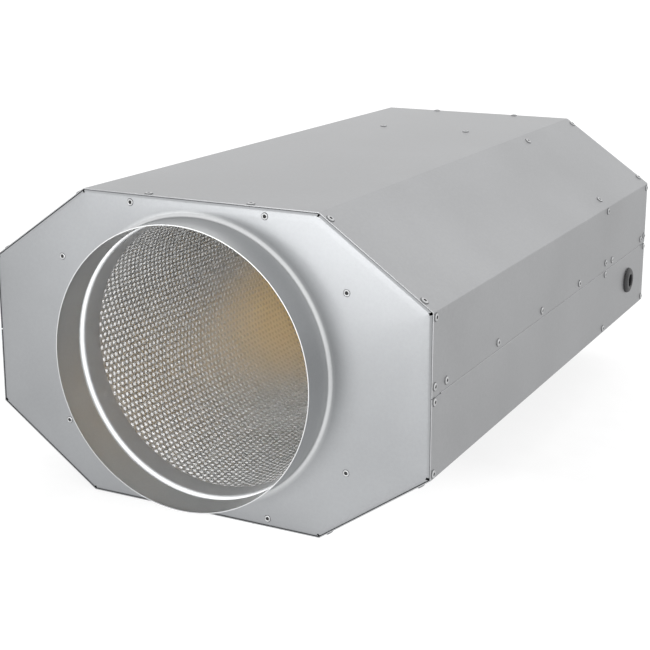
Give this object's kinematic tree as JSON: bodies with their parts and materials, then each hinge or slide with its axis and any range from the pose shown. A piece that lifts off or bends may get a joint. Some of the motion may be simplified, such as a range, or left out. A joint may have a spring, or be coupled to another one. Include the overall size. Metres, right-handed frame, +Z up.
{
  "type": "silenced in-line duct fan",
  "caption": "Sound-insulated in-line duct fan in a long octagonal sheet-steel casing with round duct spigots, a perforated inner tube and a black cable grommet.",
  "frame": {"origin": "middle of the casing's bottom face, which is the bottom centre of the bounding box", "axes": "+Y along the duct axis from the front (perforated silencer) end to the rear (fan) end, +X towards the side with the cable grommet, +Z up"},
  "size_m": [0.551, 0.9, 0.354],
  "materials": {
    "galvanised_sheet": "satin, fine-grained zinc-coated sheet",
    "perforated_sheet": "satin zinc-coated perforated sheet",
    "white_fleece": "matt non-woven glass fleece",
    "mineral_wool": "matt fibrous wool",
    "rivet_steel": "bright zinc-plated blind rivet",
    "impeller_passivated": "yellow-passivated sheet steel, satin",
    "cast_aluminium": "as-cast, fine grain",
    "machined_steel": "turned steel",
    "copper_winding": "varnished copper winding",
    "black_rubber": "matt black rubber",
    "black_plastic": "matt black moulding",
    "grey_plastic": "matt light grey moulding"
  },
  "bodies": {
    "casing": {"upper_casing_shell": "galvanised_sheet", "lower_casing_shell": "galvanised_sheet", "front_end_plate": "galvanised_sheet", "rear_end_plate": "galvanised_sheet", "front_inner_plate": "galvanised_sheet", "rear_inner_plate": "galvanised_sheet", "bulkhead_plate": "galvanised_sheet", "front_perforated_tube": "perforated_sheet", "front_fleece_wrap": "white_fleece", "front_wool_upper": "mineral_wool", "front_wool_lower": "mineral_wool", "rear_wool_upper": "mineral_wool", "rear_wool_lower": "mineral_wool", "fan_housing": "galvanised_sheet", "fan_inlet_cone": "galvanised_sheet", "guide_vane_ring": "cast_aluminium", "motor_stator": "copper_winding", "front_bearing": "machined_steel", "rear_bearing": "machined_steel", "motor_rear_cover": "cast_aluminium", "terminal_box_base": "black_plastic", "terminal_box_lid": "black_plastic", "terminal_block": "grey_plastic", "run_capacitor": "grey_plastic", "motor_lead": "black_rubber", "cable_grommet": "black_rubber", "front_plate_rivet_top_right": "rivet_steel", "front_plate_rivet_upper_right": "rivet_steel", "front_plate_rivet_lower_right": "rivet_steel", "front_plate_rivet_bottom_right": "rivet_steel", "front_plate_rivet_bottom_left": "rivet_steel", "front_plate_rivet_lower_left": "rivet_steel", "front_plate_rivet_upper_left": "rivet_steel", "front_plate_rivet_top_left": "rivet_steel", "rear_plate_rivet_top_right": "rivet_steel", "rear_plate_rivet_upper_right": "rivet_steel", "rear_plate_rivet_lower_right": "rivet_steel", "rear_plate_rivet_bottom_right": "rivet_steel", "rear_plate_rivet_bottom_left": "rivet_steel", "rear_plate_rivet_lower_left": "rivet_steel", "rear_plate_rivet_upper_left": "rivet_steel", "rear_plate_rivet_top_left": "rivet_steel", "right_seam_rivet_1": "rivet_steel", "right_seam_rivet_2": "rivet_steel", "right_seam_rivet_3": "rivet_steel", "right_seam_rivet_4": "rivet_steel", "right_seam_rivet_5": "rivet_steel", "right_seam_rivet_6": "rivet_steel"},
    "rotor": {"impeller_hub": "impeller_passivated", "nose_cone": "impeller_passivated", "motor_rotor_can": "machined_steel", "motor_shaft": "machined_steel", "impeller_blade_1": "galvanised_sheet", "impeller_blade_2": "galvanised_sheet", "impeller_blade_3": "galvanised_sheet", "impeller_blade_4": "galvanised_sheet", "impeller_blade_5": "galvanised_sheet", "impeller_blade_6": "galvanised_sheet", "impeller_blade_7": "galvanised_sheet"}
  },
  "joints": [
    {"name": "impeller_spin", "type": "hinge", "parent": "casing", "child": "rotor", "pos_m": [0, 0.249, 0.177], "axis": [0, 1, 0], "continuous": true}
  ]
}
